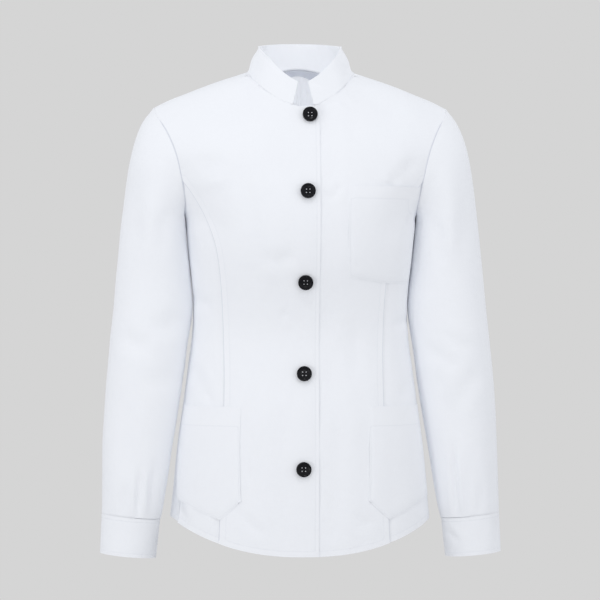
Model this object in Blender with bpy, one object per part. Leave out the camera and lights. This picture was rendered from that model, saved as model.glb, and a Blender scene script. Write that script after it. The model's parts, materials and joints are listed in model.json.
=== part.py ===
"""Women's blouse with a mandarin collar, filled out as if worn and open at neck, hem and cuffs.

Each cloth piece is a thin wall cut from one of four forms: the torso, the sleeves, the cuffs and
the collar band. The wearer's left is +X, the front faces -Y, and +Z is up. The origin lies midway
between the two neck points, where the shoulder seams meet the collar. Sizes are in millimetres.
"""

import bmesh
import bpy
import numpy as np

MM = 0.001

# Cloth
BODY_WALL = 1.6
SLEEVE_WALL = 1.5
BAND_WALL = 2.3       # collar and cuffs: two layers with an interlining
POCKET_WALL = 1.3
LABEL_WALL = 1.0
SEAM_TRIM = 0.2       # cut from each side of a seam, which leaves a gap of 0.4
SEAT_GAP = 0.7        # from a panel's edge to the sleeve or the collar sewn to it
LAY_GAP = 0.4         # between two layers that lie on each other

# Torso: level, half width, depth in front of and behind the side
TORSO = (
    (0, 250, 70, 94),
    (-48, 248, 80, 98),
    (-75, 244, 91, 101),
    (-100, 229, 102, 104),
    (-132, 205.5, 113, 106),
    (-150, 192, 118, 107),
    (-165, 181.5, 122, 107),
    (-188, 164.5, 126, 106),
    (-197, 159.5, 127, 105.5),
    (-217, 157.5, 127.5, 104),
    (-258, 153.5, 123, 97),
    (-313, 148, 110, 88),
    (-355, 148.5, 103, 85),
    (-396, 154, 106, 89),
    (-451, 161, 115, 99),
    (-506, 168.5, 121, 107),
    (-562, 174.5, 125, 111),
    (-603, 178.5, 127, 113),
    (-660, 181, 129, 115),
)
SQUARENESS = 2.3      # exponent of the torso's sections; 2 is an ellipse
DOME_FRONT = 110      # how far below its ridge the shoulder rounds over to the full depth
DOME_BACK = 133

# Neck hole and shoulders
NECK_HALF_WIDTH = 74.5
NECK_FRONT = 80.5
NECK_BACK = 60
RIDGE_CENTRE = 42     # the shoulder ridge, carried on over the neck hole
RIDGE_SLOPE = -0.36
SHOULDER = ((74.5, 0.5), (105.6, -9.9), (137.3, -21), (164.2, -31.9), (191, -43), (201, -48.5))
SHOULDER_END = 201

# Seam lines on the front: level, distance from centre front
FRONT_EDGE = ((0, -21.5), (-660, -18))
POCKET_LINE = ((0, 74.5), (-60, 67), (-160, 60), (-300, 61), (-445, 84), (-660, 84))
ARMHOLE_FRONT = (
    (-48.5, 201), (-60, 198), (-72, 190.5), (-85, 184), (-100, 177), (-130, 167.5), (-150, 163.5),
)
PRINCESS = (
    (-150, 163.5), (-165, 154), (-186, 140.5), (-208, 130), (-233, 121), (-260, 115.5), (-290, 112),
    (-340, 109), (-400, 107.5), (-455, 108), (-540, 111), (-660, 116),
)
# The armhole below the princess seam: degrees round from centre front, level
UNDERARM_FRONT = ((56, -150), (60.5, -165), (67.3, -180), (74, -190), (80, -195), (87, -197))
ARMHOLE_BACK = (
    (-48.5, 201), (-60, 199.5), (-72, 196), (-90, 190), (-110, 184), (-130, 179), (-150, 174), (-170, 167),
    (-187, 160.5),
)
UNDERARM_LEVEL = -197

# Side seam: level, degrees round from centre front on the wearer's right and left. Below the top of
# the side vent the right one swings forward, where the front's corner lies over the back's.
SIDE_SEAM = (
    (-197, 87, 87), (-260, 84, 84), (-330, 81, 81), (-400, 79, 79), (-545, 78, 78), (-592, 71, 77),
    (-660, 70, 77),
)
VENT_TOP = -545
VENT_SINK = 3.5       # how deep the back's vent edge lies under the front's

# Curved hem
HEM_LEVEL = -655.5
HEM_RISE = 46

# Grid of the panels
UPPER_ROWS = 6        # from the shoulder seam to the top of the princess seam
PRINCESS_TOP = -150
NECK_STEPS = (0, 0.18, 0.37, 0.53, 0.69, 0.85, 1)
NECK_STEPS_BACK = (0, 0.21, 0.42, 0.62, 0.82, 1)
CHEST_STEPS = 3
SIDE_STEPS = 5
BACK_STEPS = 6
COLLAR_FIRST = 2      # the neck step where the collar's end is sewn on
# level, how much of the armhole's dip the row keeps
SIDE_ROWS = (
    (-150, 1), (-160, 1), (-182, 0.8), (-207, 0.56), (-235, 0.32), (-262, 0.14), (-290, 0), (-322, 0),
)
BACK_ROWS = (-170, -187, -197, -220, -248, -290, -322)
# level, how much of the hem's curve the row keeps; the pockets' edges lie on these rows
SKIRT_ROWS = (
    (-362, 0), (-408, 0), (-456, 0), (-497, 0.15), (-538, 0.4), (-582, 0.75), (-623.5, 1), (HEM_LEVEL, 1),
)

# Underlap of the left front
UNDERLAP_SINK = 2.4
UNDERLAP_END = 24
UNDERLAP_RUNOUT = 30

# Pockets
CHEST_POCKET_ROWS = (1, 6)     # rows of the side front that its mouth and its bottom lie on
CHEST_POCKET_CORNER = 8
CHEST_POCKET_SIDE = 4          # last step round to the side, hidden by the sleeve
HIP_POCKET_ROWS = (10, 14)
HIP_POCKET_CORNER = 34

# Sleeve: outer and inner point of each ring (distance from centre, level), half depth, middle's y
SLEEVE = (
    (203.5, -49.5, 160.6, -198.2, 65, -5),
    (209.5, -57, 161.2, -201, 65.5, -5),
    (218, -69, 161.3, -206, 66, -4),
    (226.5, -90, 160.8, -213, 66.5, -4),
    (233, -116, 159.8, -223, 66, -4),
    (238.2, -148, 158.5, -236, 65, -4),
    (243.8, -190, 156.5, -254, 63, -4),
    (249.6, -248, 153.8, -286, 60, -5),
    (256, -313, 151, -332, 58, -7),
    (262.5, -380, 157.5, -394, 57, -10),
    (268, -452, 167.5, -464, 54, -14),
    (271.3, -520, 178.5, -530, 49, -19),
    (272.2, -575, 187, -584, 43.5, -23),
    (272.5, -603, 192, -611, 38.5, -25.5),
)
SLEEVE_BLEND = (1, 0.8, 0.55, 0.3, 0.12)   # how much of the armhole's own curve the first rings keep
SLEEVE_EVEN = 6                            # rings over which the spacing round the sleeve evens out

# Cuff, as the sleeve
CUFF = (
    (272.5, -603.6, 193, -611.6, 37.5, -25.5),
    (273.6, -630, 195.6, -637.5, 37, -26),
    (274.8, -657, 198.5, -664, 36.5, -26.5),
)

# Collar's top edge: degrees round from centre front, level
COLLAR_TOP = (
    (0, -20), (15, -12), (30, -0.5), (50, 16.5), (68, 32), (80, 36), (90, 37), (120, 41), (150, 45),
    (180, 46),
)
COLLAR_HALF_WIDTH = 58
COLLAR_FRONT = 66
COLLAR_BACK = 63
COLLAR_END_SPREAD = 5.5        # degrees that the ends lean in towards each other
COLLAR_ROWS = 3
COLLAR_LAP = 0.35              # how much higher the left end is sewn, over the right front's edge

# Neck label: drop of its lower edge below the collar seam, from the centre outwards
LABEL_DROPS = (7.5, 10, 15)

# Buttons: level, distance from centre front towards the wearer's left
BUTTONS = ((-64.5, 8.6), (-168, 3.7), (-289, 0.9), (-412, -0.5), (-539, -2.3))
BUTTON_DIAMETER = 20
BUTTON_THICKNESS = 3.4
BUTTON_RIM = 2.2
BUTTON_WELL = 1.1
BUTTON_HOLE = 1.9
BUTTON_HOLE_PITCH = 4.7
BUTTON_STANDOFF = 1.9  # length of the thread shank
BUTTON_HANG = 0.7      # how much of the cloth's own slope a button keeps as it hangs


def clear_scene():
    for thing in list(bpy.data.objects):
        bpy.data.objects.remove(thing)


def material(name, colour, roughness, metallic=0.0):
    made = bpy.data.materials.new(name)
    made.use_nodes = True
    shader = made.node_tree.nodes["Principled BSDF"]
    shader.inputs["Base Color"].default_value = (*colour, 1)
    shader.inputs["Roughness"].default_value = roughness
    shader.inputs["Metallic"].default_value = metallic
    return made


def curve(rows, at, column=1):
    """A smooth curve through a table's rows, read at a value of the first column."""
    table = np.array(sorted(rows), float)
    x, y = table[:, 0], table[:, column]
    slope = np.gradient(y, x)
    at = np.clip(at, x[0], x[-1])
    i = int(np.clip(np.searchsorted(x, at) - 1, 0, len(x) - 2))
    step = x[i + 1] - x[i]
    t = (at - x[i]) / step
    return (
        (1 + 2 * t) * (1 - t) ** 2 * y[i] + t * (1 - t) ** 2 * step * slope[i]
        + t * t * (3 - 2 * t) * y[i + 1] + t * t * (t - 1) * step * slope[i + 1]
    )


def curve_of(rows):
    return lambda z: curve(rows, z)


def smooth_step(t):
    t = np.clip(t, 0, 1)
    return t * t * (3 - 2 * t)


def unit(vector):
    return vector / np.maximum(np.linalg.norm(vector, axis=-1, keepdims=True), 1e-9)


# The torso's form. Angles run from 0 at centre front to 180 at centre back, on the side x > 0.

def ridge(x):
    """Height of the shoulder ridge: the shoulder seam, and a bridge over the neck hole."""
    x = abs(x)
    if x >= NECK_HALF_WIDTH:
        return curve(SHOULDER, x)
    reach, end = NECK_HALF_WIDTH**2, SHOULDER[0][1] - RIDGE_CENTRE
    fourth = (RIDGE_SLOPE * NECK_HALF_WIDTH / 2 - end) / reach**2
    second = end / reach - fourth * reach
    return RIDGE_CENTRE + second * x * x + fourth * x**4


def torso(angle, z):
    """The point of the torso at an angle round from centre front and a level."""
    turn = np.radians(angle)
    power = 2 / SQUARENESS
    x = curve(TORSO, z, 1) * np.sign(np.sin(turn)) * abs(np.sin(turn)) ** power
    front = abs(angle) < 90
    dome = DOME_FRONT if front else DOME_BACK
    rise = np.clip(1 - (ridge(x) - z) / dome, 0, 1)
    depth = curve(TORSO, z, 2 if front else 3) * abs(np.cos(turn)) ** power * np.sqrt(1 - rise**2)
    return np.array((x, -depth if front else depth, z))


def form_normals(grid):
    """Unit normals, outwards, of the torso's form at the points of a grid."""
    found = np.empty_like(grid)
    for place in np.ndindex(grid.shape[:2]):
        x, y, z = grid[place]
        if ridge(x) - z < 0.5:      # along the shoulder seam, where the form is turned level
            found[place] = unit(np.array((ridge(x - 1) - ridge(x + 1), 0, 2)))
            continue
        angle = abs(angle_at(x, z))
        angle = np.copysign(angle if y < 0 else 180 - angle, x)
        across = torso(angle + 0.4, z) - torso(angle - 0.4, z)
        found[place] = unit(np.cross(across, torso(angle, z + 0.4) - torso(angle, z - 0.4)))
    return found


def angle_at(x, z):
    """The angle, measured from centre front or back, where the torso has this x."""
    share = np.clip(abs(x) / curve(TORSO, z, 1), 0, 1) ** (SQUARENESS / 2)
    return np.sign(x) * np.degrees(np.arcsin(share))


def neck_level(x, back=False):
    """Where the neck hole's oval meets the torso above this x."""
    oval = (NECK_BACK if back else NECK_FRONT) * np.sqrt(max(0, 1 - (x / NECK_HALF_WIDTH) ** 2))
    high, low = ridge(x), -100
    for _ in range(30):
        middle = (high + low) / 2
        angle = abs(angle_at(x, middle))
        reach = abs(torso(180 - angle if back else angle, middle)[1])
        high, low = (middle, low) if reach < oval else (high, middle)
    return high


def top_level(x, back=False):
    return neck_level(x, back) if abs(x) < NECK_HALF_WIDTH else ridge(x)


def hem_level(angle):
    return HEM_LEVEL + HEM_RISE * np.sin(np.radians(angle)) ** 2


def upper_levels(top):
    """Levels from the top edge to the princess seam's top, closer where the shoulder rounds over."""
    share = 1 - np.cos(np.linspace(0, np.pi / 2, UPPER_ROWS + 1))
    return list(top + (PRINCESS_TOP - top) * share)


def skirt_levels(hem):
    return [level + (hem - HEM_LEVEL) * share for level, share in SKIRT_ROWS]


# Panels: grids of points, rows downwards and columns outwards from the centre

def seam_angle(z, side):
    return curve(SIDE_SEAM, z, 1 if side < 0 else 2)


def centre_front(side):
    """Centre front, on the side x > 0: front edge, pocket line, then armhole and princess seam."""

    def outer(z):
        return curve(ARMHOLE_FRONT, z) if z > PRINCESS_TOP else curve(PRINCESS, z)

    spans = [(curve_of(FRONT_EDGE), curve_of(POCKET_LINE), share) for share in NECK_STEPS]
    spans += [(curve_of(POCKET_LINE), outer, step / CHEST_STEPS) for step in range(1, CHEST_STEPS + 1)]
    columns = []
    for index, (inner_line, outer_line, share) in enumerate(spans):
        past_neck = index >= len(NECK_STEPS)
        ends = (NECK_HALF_WIDTH, SHOULDER_END) if past_neck else (FRONT_EDGE[0][1], NECK_HALF_WIDTH)
        top_x = ends[0] + (ends[1] - ends[0]) * share
        top = top_level(top_x)
        hem_x = inner_line(HEM_LEVEL) * (1 - share) + outer_line(HEM_LEVEL) * share
        hem = hem_level(angle_at(hem_x, HEM_LEVEL))
        levels = upper_levels(top) + [z for z, _ in SIDE_ROWS[1:]] + skirt_levels(hem)
        column = []
        for z in levels:
            inner_x = inner_line(min(z, top)) if z < 0 else ends[0]
            x = inner_x * (1 - share) + outer_line(z) * share
            x = top_x if z == top else x
            column.append(torso(angle_at(x, z), z))
        columns.append(column)
    grid = np.array(columns).transpose(1, 0, 2)
    if side > 0:
        across = smooth_step((grid[..., 0] - UNDERLAP_END) / UNDERLAP_RUNOUT)
        grid -= form_normals(grid) * (UNDERLAP_SINK * (1 - across))[..., None]
    return grid


def side_front(side):
    columns = []
    for share in np.linspace(0, 1, SIDE_STEPS + 1):
        first = angle_at(PRINCESS[0][1], PRINCESS_TOP)
        top = curve(UNDERARM_FRONT, first + (UNDERARM_FRONT[-1][0] - first) * share)
        last = angle_at(PRINCESS[-1][1], HEM_LEVEL)
        hem = hem_level(last * (1 - share) + seam_angle(HEM_LEVEL, side) * share)
        levels = [z + (top - PRINCESS_TOP) * keep for z, keep in SIDE_ROWS] + skirt_levels(hem)
        column = []
        for z in levels:
            princess = angle_at(curve(PRINCESS, z), z)
            column.append(torso(princess + (seam_angle(z, side) - princess) * share, z))
        columns.append(column)
    return np.array(columns).transpose(1, 0, 2)


def half_back(side):
    """Half of the back, from centre back out to the armhole and the side seam."""
    neck = [NECK_HALF_WIDTH * share for share in NECK_STEPS_BACK]
    tops = neck + list(np.linspace(NECK_HALF_WIDTH, SHOULDER_END, BACK_STEPS + 1)[1:])
    whole = angle_at(SHOULDER_END, SHOULDER[-1][1])

    def outer(z):
        if z <= UNDERARM_LEVEL:
            return 180 - seam_angle(z, side)
        return angle_at(curve(ARMHOLE_BACK, z), z)

    columns = []
    for top_x in tops:
        top = top_level(top_x, back=True)
        share = angle_at(top_x, top) / whole
        levels = upper_levels(top) + list(BACK_ROWS) + skirt_levels(hem_level(outer(HEM_LEVEL) * share))
        column = []
        for row, z in enumerate(levels):
            angle = angle_at(top_x, z) if row == 0 else outer(z) * share
            point = torso(180 - angle, z)
            if side < 0:
                under = smooth_step((VENT_TOP - z) / 25) * smooth_step((share - 0.8) / 0.2)
                point[:2] *= 1 - VENT_SINK * under / np.linalg.norm(point[:2])
            column.append(point)
        columns.append(column)
    return np.array(columns).transpose(1, 0, 2)


def normals(grid, wrap=False):
    """Unit normals of a grid: outwards on the collar, inwards on the sleeves and the cuffs."""
    across = np.gradient(grid, axis=1, edge_order=2)
    if wrap:
        across = (np.roll(grid, -1, axis=1) - np.roll(grid, 1, axis=1)) / 2
    return unit(np.cross(np.gradient(grid, axis=0, edge_order=2), across))


def trim(grid, top=False, bottom=False, first=False, last=False):
    """Cuts the seam trim off the named edges, along the grid's own lines."""
    made = grid.copy()
    if top:
        made[0] += SEAM_TRIM * unit(grid[1] - grid[0])
    if bottom:
        made[-1] += SEAM_TRIM * unit(grid[-2] - grid[-1])
    if first:
        made[:, 0] += SEAM_TRIM * unit(grid[:, 1] - grid[:, 0])
    if last:
        made[:, -1] += SEAM_TRIM * unit(grid[:, -2] - grid[:, -1])
    return made


def wall(name, outer, inner, finish, side=1, wrap=False):
    """A closed cloth wall between two grids of points, which may run right round."""
    rows, columns = outer.shape[:2]
    points = np.concatenate((outer.reshape(-1, 3), inner.reshape(-1, 3))) * MM
    points[:, 0] *= side
    back = rows * columns
    faces = []

    def quad(a, b, c, d):
        faces.extend(((a, b, c), (a, c, d)))

    last = columns if wrap else columns - 1
    for row in range(rows - 1):
        for column in range(last):
            a, b = row * columns + column, row * columns + (column + 1) % columns
            c, d = b + columns, a + columns
            quad(a, b, c, d)
            quad(back + a, back + d, back + c, back + b)
    rims = []
    for row in (0, rows - 1):
        for column in range(last):
            rims.append((row * columns + column, row * columns + (column + 1) % columns))
    if not wrap:
        for column in (0, columns - 1):
            rims += [(row * columns + column, (row + 1) * columns + column) for row in range(rows - 1)]
    for a, b in rims:
        quad(a, b, back + b, back + a)
    mesh = bpy.data.meshes.new(name)
    mesh.from_pydata(points.tolist(), [], faces)
    mesh.materials.append(finish)
    shape = bmesh.new()
    shape.from_mesh(mesh)
    bmesh.ops.recalc_face_normals(shape, faces=shape.faces)
    shape.to_mesh(mesh)
    shape.free()
    made = bpy.data.objects.new(name, mesh)
    bpy.context.scene.collection.objects.link(made)
    return made


def panel(name, grid, finish, side=1):
    """A cloth panel whose outer face is the grid."""
    return wall(name, grid, grid - BODY_WALL * form_normals(grid), finish, side)


def point_at(column, z):
    """The point at a level on a grid column."""
    levels = column[::-1, 2]
    return np.array([np.interp(z, levels, column[::-1, axis]) for axis in range(3)])


def patch(name, panel_grid, rows, corner, finish, side):
    """A pocket laid on panels: made from their points between two rows, and moved out.

    Its lower edge rises by the corner's height at the first column, step by step over CHEST_STEPS.
    """
    grid = panel_grid[rows[0]: rows[1] + 1].copy()
    for column in range(CHEST_STEPS):
        low = grid[-1, column, 2] + corner * (1 - column / CHEST_STEPS)
        for row in range(len(grid) - 1, 0, -1):
            level = low + 3 * (len(grid) - 1 - row)
            if grid[row, column, 2] < level:
                grid[row, column] = point_at(panel_grid[:, column], level)
    out = form_normals(grid)
    inner = grid + LAY_GAP * out
    return wall(name, grid + (LAY_GAP + POCKET_WALL) * out, inner, finish, side)


def torso_pieces(cotton):
    """The two fronts, the two side fronts and the back, with the pockets on them."""
    edges = {}
    for side, word in ((-1, "right"), (1, "left")):
        front = trim(centre_front(side), last=True)
        above = len(NECK_STEPS) - 1
        front[0, above:] = trim(front, top=True)[0, above:]
        flank = trim(side_front(side), top=True, first=True, last=True)
        panel("front_" + word, front, cotton, side)
        panel("side_front_" + word, flank, cotton, side)
        edges[side] = front, flank
        # Rows of the centre front above the princess seam have no match on the side front.
        skirt = np.concatenate((front[UPPER_ROWS:, above:], flank[:, 1:]), axis=1)
        patch("hip_pocket_" + word, skirt, HIP_POCKET_ROWS, HIP_POCKET_CORNER, cotton, side)
        if side > 0:
            chest = skirt[:, : CHEST_STEPS + 1 + CHEST_POCKET_SIDE]
            patch("chest_pocket", chest, CHEST_POCKET_ROWS, CHEST_POCKET_CORNER, cotton, side)
    halves = {side: half_back(side) for side in (-1, 1)}
    shoulder = len(NECK_STEPS_BACK) - 1
    for side in halves:
        halves[side] = trim(halves[side], last=True)
        halves[side][0, shoulder:] = trim(halves[side], top=True)[0, shoulder:]
    mirrored = halves[-1][:, :0:-1] * (-1, 1, 1)
    back = np.concatenate((mirrored, halves[1]), axis=1)
    panel("back", back, cotton)
    return edges, halves, back


def armhole(front, flank, back):
    """Points round the armhole, front first, with each one's way out and its panel's normal."""
    found = []
    front_out, flank_out, back_out = form_normals(front), form_normals(flank), form_normals(back)
    for row in range(UPPER_ROWS + 1):
        found.append((front[row, -1], unit(front[row, -1] - front[row, -2]), front_out[row, -1]))
    for column in range(1, flank.shape[1]):
        found.append((flank[0, column], unit(flank[0, column] - flank[1, column]), flank_out[0, column]))
    for row in range(UPPER_ROWS + 2, 0, -1):
        found.append((back[row, -1], unit(back[row, -1] - back[row, -2]), back_out[row, -1]))
    return [np.array(values) for values in zip(*found)]


def ring(row, turn):
    """A ring of the sleeve: an ellipse on the line from its outer to its inner point."""
    outer_x, outer_z, inner_x, inner_z, half_depth, middle_y = row
    centre = np.array(((outer_x + inner_x) / 2, middle_y, (outer_z + inner_z) / 2))
    reach = np.array(((outer_x - inner_x) / 2, 0, (outer_z - inner_z) / 2))
    return centre + np.cos(turn)[:, None] * reach + np.sin(turn)[:, None] * np.array((0, -half_depth, 0))


def seat(points, ways, panel_normals):
    """The first ring of a piece sewn to an edge: just off the edge, outwards and forwards."""
    return points + SEAT_GAP * unit(ways + panel_normals)


def held_clear(own, ways):
    """Normals for that ring which don't lean back over the edge."""
    lean = np.clip((own * ways).sum(axis=-1, keepdims=True), 0, None)
    return unit(own - lean * ways)


def sleeve(name, edge, side, finish):
    points, ways, panel_normals = edge
    outer_x, outer_z, inner_x, inner_z, half_depth, middle_y = SLEEVE[0]
    centre = np.array(((outer_x + inner_x) / 2, middle_y, (outer_z + inner_z) / 2))
    reach = np.array(((outer_x - inner_x) / 2, 0, (outer_z - inner_z) / 2))
    along = (points - centre) @ reach / (reach @ reach)
    turn = np.unwrap(np.arctan2(-(points[:, 1] - middle_y) / half_depth, along))
    even = np.linspace(0, 2 * np.pi, len(turn), endpoint=False)
    offset = points - ring(SLEEVE[0], turn)
    rings = [seat(points, ways, panel_normals)]
    for index, row in enumerate(SLEEVE[1:], 1):
        share = smooth_step(index / SLEEVE_EVEN)
        keep = SLEEVE_BLEND[index] if index < len(SLEEVE_BLEND) else 0
        rings.append(ring(row, turn * (1 - share) + even * share) + keep * offset)
    outer = np.array(rings)
    outward = -normals(outer, wrap=True)
    outward[0] = held_clear(outward[0], ways)
    wall(name, outer, outer - SLEEVE_WALL * outward, finish, side, wrap=True)
    return even


def cuff(name, even, side, finish):
    outer = np.array([ring(row, even) for row in CUFF])
    wall(name, outer, outer + BAND_WALL * normals(outer, wrap=True), finish, side, wrap=True)


def collar(edges, back, finish):
    """The band from the right front's neck edge round the back to the left front's."""
    neck = len(NECK_STEPS) - 1
    half = back.shape[1] // 2
    reach = len(NECK_STEPS_BACK) - 1
    found = []
    for side in (-1, 1):
        front = edges[side][0]
        out = form_normals(front)
        run = []
        for column in range(COLLAR_FIRST, neck + 1):
            way = unit(front[0, column] - front[1, column])
            run.append([vector * (side, 1, 1) for vector in (front[0, column], way, out[0, column])])
        found.append(run)
    found[1][0][0] += COLLAR_LAP * found[1][0][1]
    out = form_normals(back)
    across = []
    for column in range(half - reach + 1, half + reach):
        across.append([back[0, column], unit(back[0, column] - back[1, column]), out[0, column]])
    points, ways, panel_normals = [np.array(v) for v in zip(*(found[0] + across + found[1][::-1]))]
    base = seat(points, ways, panel_normals)
    depth = np.where(points[:, 1] < 0, NECK_FRONT, NECK_BACK)
    turn = np.degrees(np.arctan2(abs(points[:, 0]) / NECK_HALF_WIDTH, -points[:, 1] / depth))
    turn = turn - COLLAR_END_SPREAD * np.clip(1 - turn / 90, 0, 1) ** 2
    angle = np.radians(turn)
    top_depth = np.where(turn < 90, COLLAR_FRONT, COLLAR_BACK)
    top = np.stack((
        np.sign(points[:, 0]) * COLLAR_HALF_WIDTH * np.sin(angle),
        -top_depth * np.cos(angle),
        [curve(COLLAR_TOP, degrees) for degrees in turn],
    ), axis=1)
    rows = [base + (top - base) * row / COLLAR_ROWS for row in range(COLLAR_ROWS + 1)]
    outer = np.array(rows)
    outward = normals(outer)
    outward[0] = held_clear(outward[0], ways)
    wall("collar", outer, outer - BAND_WALL * outward, finish)


def label(back, finish):
    """A strip on the inside of the back, below the collar seam, its lower edge arched."""
    half = back.shape[1] // 2
    columns = []
    for step in range(1 - len(LABEL_DROPS), len(LABEL_DROPS)):
        column = back[:, half + step]
        top = column[0, 2] - 1
        columns.append([point_at(column, top - drop) for drop in (0, LABEL_DROPS[abs(step)])])
    grid = np.array(columns).transpose(1, 0, 2)
    out = form_normals(grid)
    near = grid - (BODY_WALL + LAY_GAP) * out
    wall("neck_label", near, near - LABEL_WALL * out, finish)


def button(name, level, across, finish):
    """A four-hole button, turned from its half section and drilled, standing off the right front."""
    radius = BUTTON_DIAMETER / 2
    profile = (
        (0.001, 0), (radius - 1.5, 0), (radius, 1.2), (radius, BUTTON_THICKNESS - 0.7),
        (radius - 0.7, BUTTON_THICKNESS), (radius - BUTTON_RIM, BUTTON_THICKNESS - 0.2),
        (radius - BUTTON_RIM - 0.9, BUTTON_THICKNESS - BUTTON_WELL), (0.001, BUTTON_THICKNESS - BUTTON_WELL),
    )
    shape = bmesh.new()
    points = [shape.verts.new((r * MM, 0, z * MM)) for r, z in profile]
    chain = [shape.edges.new(pair) for pair in zip(points, points[1:])]
    bmesh.ops.spin(
        shape, geom=points + chain, cent=(0, 0, 0), axis=(0, 0, 1), angle=2 * np.pi, steps=20, use_merge=True
    )
    bmesh.ops.remove_doubles(shape, verts=shape.verts, dist=0.00001)
    bmesh.ops.recalc_face_normals(shape, faces=shape.faces)
    mesh = bpy.data.meshes.new(name)
    shape.to_mesh(mesh)
    shape.free()
    mesh.materials.append(finish)
    made = bpy.data.objects.new(name, mesh)
    drills = bpy.data.meshes.new(name + "_drills")
    shape = bmesh.new()
    for x in (-1, 1):
        for y in (-1, 1):
            end = bmesh.ops.create_cone(
                shape, cap_ends=True, segments=8, radius1=BUTTON_HOLE / 2 * MM, radius2=BUTTON_HOLE / 2 * MM,
                depth=4 * BUTTON_THICKNESS * MM,
            )
            offset = (x * BUTTON_HOLE_PITCH / 2 * MM, y * BUTTON_HOLE_PITCH / 2 * MM, 0)
            bmesh.ops.translate(shape, verts=end["verts"], vec=offset)
    shape.to_mesh(drills)
    shape.free()
    cutter = bpy.data.objects.new(name + "_drills", drills)
    cutter.hide_render = True
    cutter.display_type = "WIRE"
    for thing in (made, cutter):
        bpy.context.scene.collection.objects.link(thing)
    cut = made.modifiers.new("holes", "BOOLEAN")
    cut.object = cutter
    here, above, below = [torso(angle_at(-across, z), z) for z in (level, level + 4, level - 4)]
    slope = BUTTON_HANG * (above[1] - below[1]) / (above[2] - below[2])
    out = unit(np.array((0, -1, slope)))
    place = here + out * BUTTON_STANDOFF
    for thing in (made, cutter):
        thing.location = (across * MM, place[1] * MM, place[2] * MM)
        thing.rotation_euler = (np.arctan2(1, slope), 0, 0)


def build():
    clear_scene()
    cotton = material("white_cotton", (0.86, 0.88, 0.93), 0.85)
    tape = material("grey_tape", (0.45, 0.47, 0.53), 0.7)
    black = material("black_button", (0.012, 0.012, 0.014), 0.28)
    edges, halves, back = torso_pieces(cotton)
    for side, word in ((-1, "right"), (1, "left")):
        even = sleeve("sleeve_" + word, armhole(*edges[side], halves[side]), side, cotton)
        cuff("cuff_" + word, even, side, cotton)
    collar(edges, back, cotton)
    label(back, tape)
    for number, (level, across) in enumerate(BUTTONS, 1):
        button(f"button_{number}", level, across, black)


build()
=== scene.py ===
"""Looks of the white mandarin collar blouse: its cloth, seams, stitches, label and buttons."""

import json
import math

import bmesh
import bpy
import numpy as np
from mathutils import Matrix, Vector
from mathutils.bvhtree import BVHTree
from mathutils.kdtree import KDTree

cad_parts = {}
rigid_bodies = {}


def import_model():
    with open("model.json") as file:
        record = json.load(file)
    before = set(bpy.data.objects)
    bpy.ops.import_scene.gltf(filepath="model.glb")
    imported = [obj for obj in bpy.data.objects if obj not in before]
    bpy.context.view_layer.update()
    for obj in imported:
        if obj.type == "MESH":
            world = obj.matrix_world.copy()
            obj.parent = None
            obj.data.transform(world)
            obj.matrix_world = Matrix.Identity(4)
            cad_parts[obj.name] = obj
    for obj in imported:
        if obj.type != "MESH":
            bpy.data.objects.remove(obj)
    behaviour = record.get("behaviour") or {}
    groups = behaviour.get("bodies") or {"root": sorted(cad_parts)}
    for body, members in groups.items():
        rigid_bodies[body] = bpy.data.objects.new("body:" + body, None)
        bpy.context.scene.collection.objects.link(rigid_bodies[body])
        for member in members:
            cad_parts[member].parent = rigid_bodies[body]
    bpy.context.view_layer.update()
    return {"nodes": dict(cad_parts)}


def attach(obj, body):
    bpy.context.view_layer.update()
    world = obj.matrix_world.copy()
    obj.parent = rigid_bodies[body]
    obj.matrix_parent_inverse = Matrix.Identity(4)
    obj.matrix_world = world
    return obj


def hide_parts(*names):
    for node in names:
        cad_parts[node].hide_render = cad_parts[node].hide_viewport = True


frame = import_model()
MM = 0.001

# ---------------------------------------------------------------------------------------------
# Back. One piece of white cotton poplin from the shoulder seams to the curved hem, which is turned
# up twice and stitched. Inside, below the neck, its fullness is taken up in small gathers.

CLOTH_THICKNESS = 1.0
HEM_WIDTH = 7.5
HEM_BELOW, HEM_RISE = -653.5, 46      # free edges below this level, which rises to the sides, are hem
SIDE_OUT = 179                        # how far out that rise ends, at the side seams
ARMHOLE_TOP, SEAM_FADE = -64, 12      # above this level no seam shows, and below it the seam's painted shade fades in
SEAM_ALLOWANCE = 6.0
SEAM_REACH = 2.5                      # edges that lie nearer than this are sewn together
SEAM_FILL = 0.9                       # the share of the gap between two sewn edges that is closed
TUCK_DEPTH = CLOTH_THICKNESS + 0.15
COTTON_WHITE = (0.935, 0.945, 0.965, 1)
COTTON_FOLD = (0.95, 0.958, 0.975, 1)
# the seam colour is painted shade: the fine dark line of a seam and the grooves of stitches
COTTON_SEAM_SHADE = (0.72, 0.74, 0.79, 1)
THREAD_PITCH = 0.9 * MM


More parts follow.
